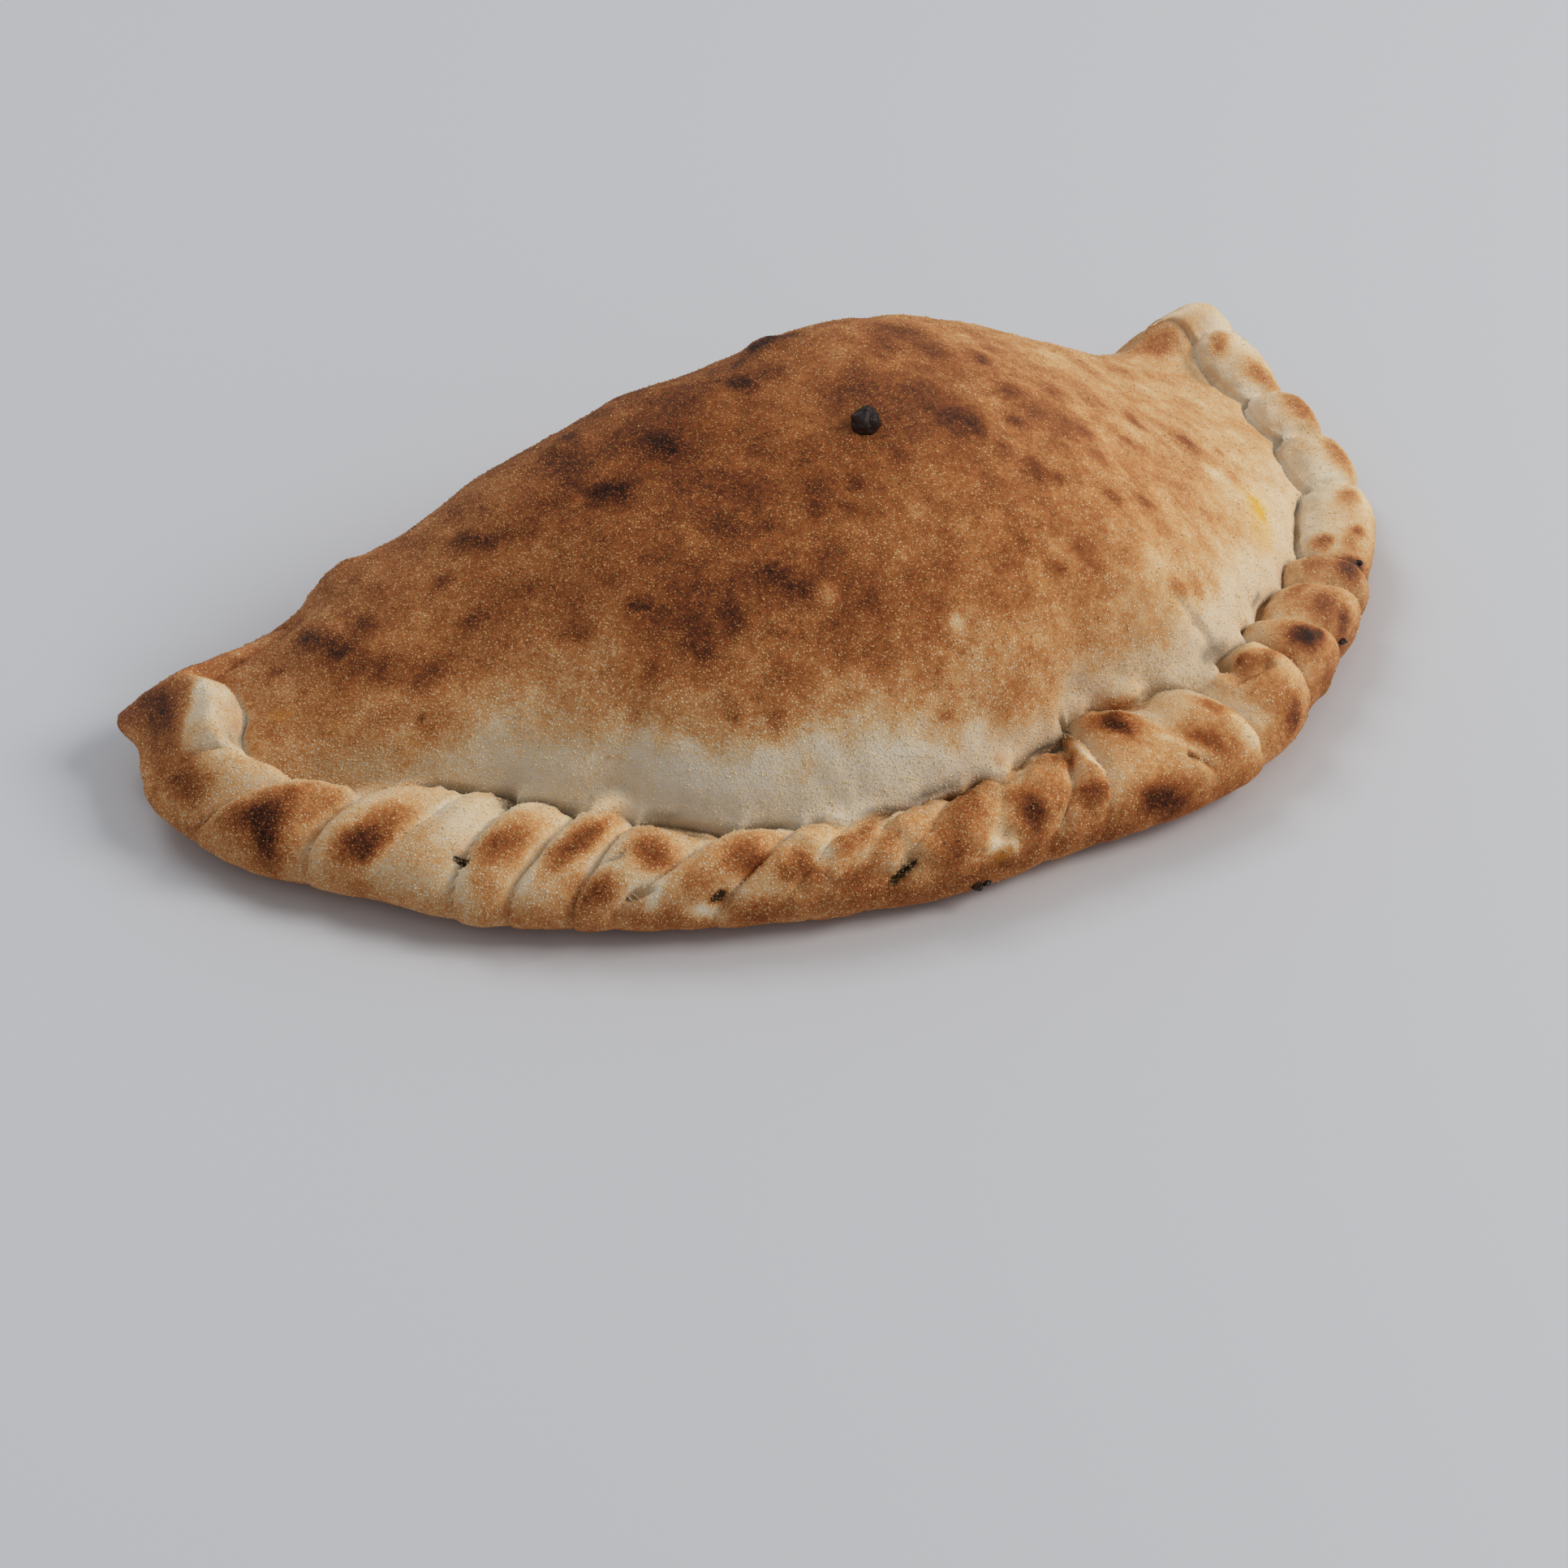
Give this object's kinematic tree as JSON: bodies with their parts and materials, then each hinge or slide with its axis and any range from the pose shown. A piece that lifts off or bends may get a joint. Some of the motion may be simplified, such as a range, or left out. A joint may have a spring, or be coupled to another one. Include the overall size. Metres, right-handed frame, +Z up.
{
  "type": "calzone",
  "caption": "Baked folded calzone with a crimped rope rim, a domed pocket and pinched tips, lying on its flat base.",
  "frame": {"origin": "centre of the object's box in plan, on the plane of the flat base", "axes": "+X along the fold from the left tip to the right tip, -Y towards the crimped front rim, +Z up"},
  "size_m": [0.302, 0.1472, 0.0655],
  "materials": {
    "crust": "matt baked dough, pale at the crimps and orange-brown on top, with scorched spots and pale semolina grains"
  },
  "bodies": {
    "root": {"calzone": "crust"}
  },
  "joints": []
}
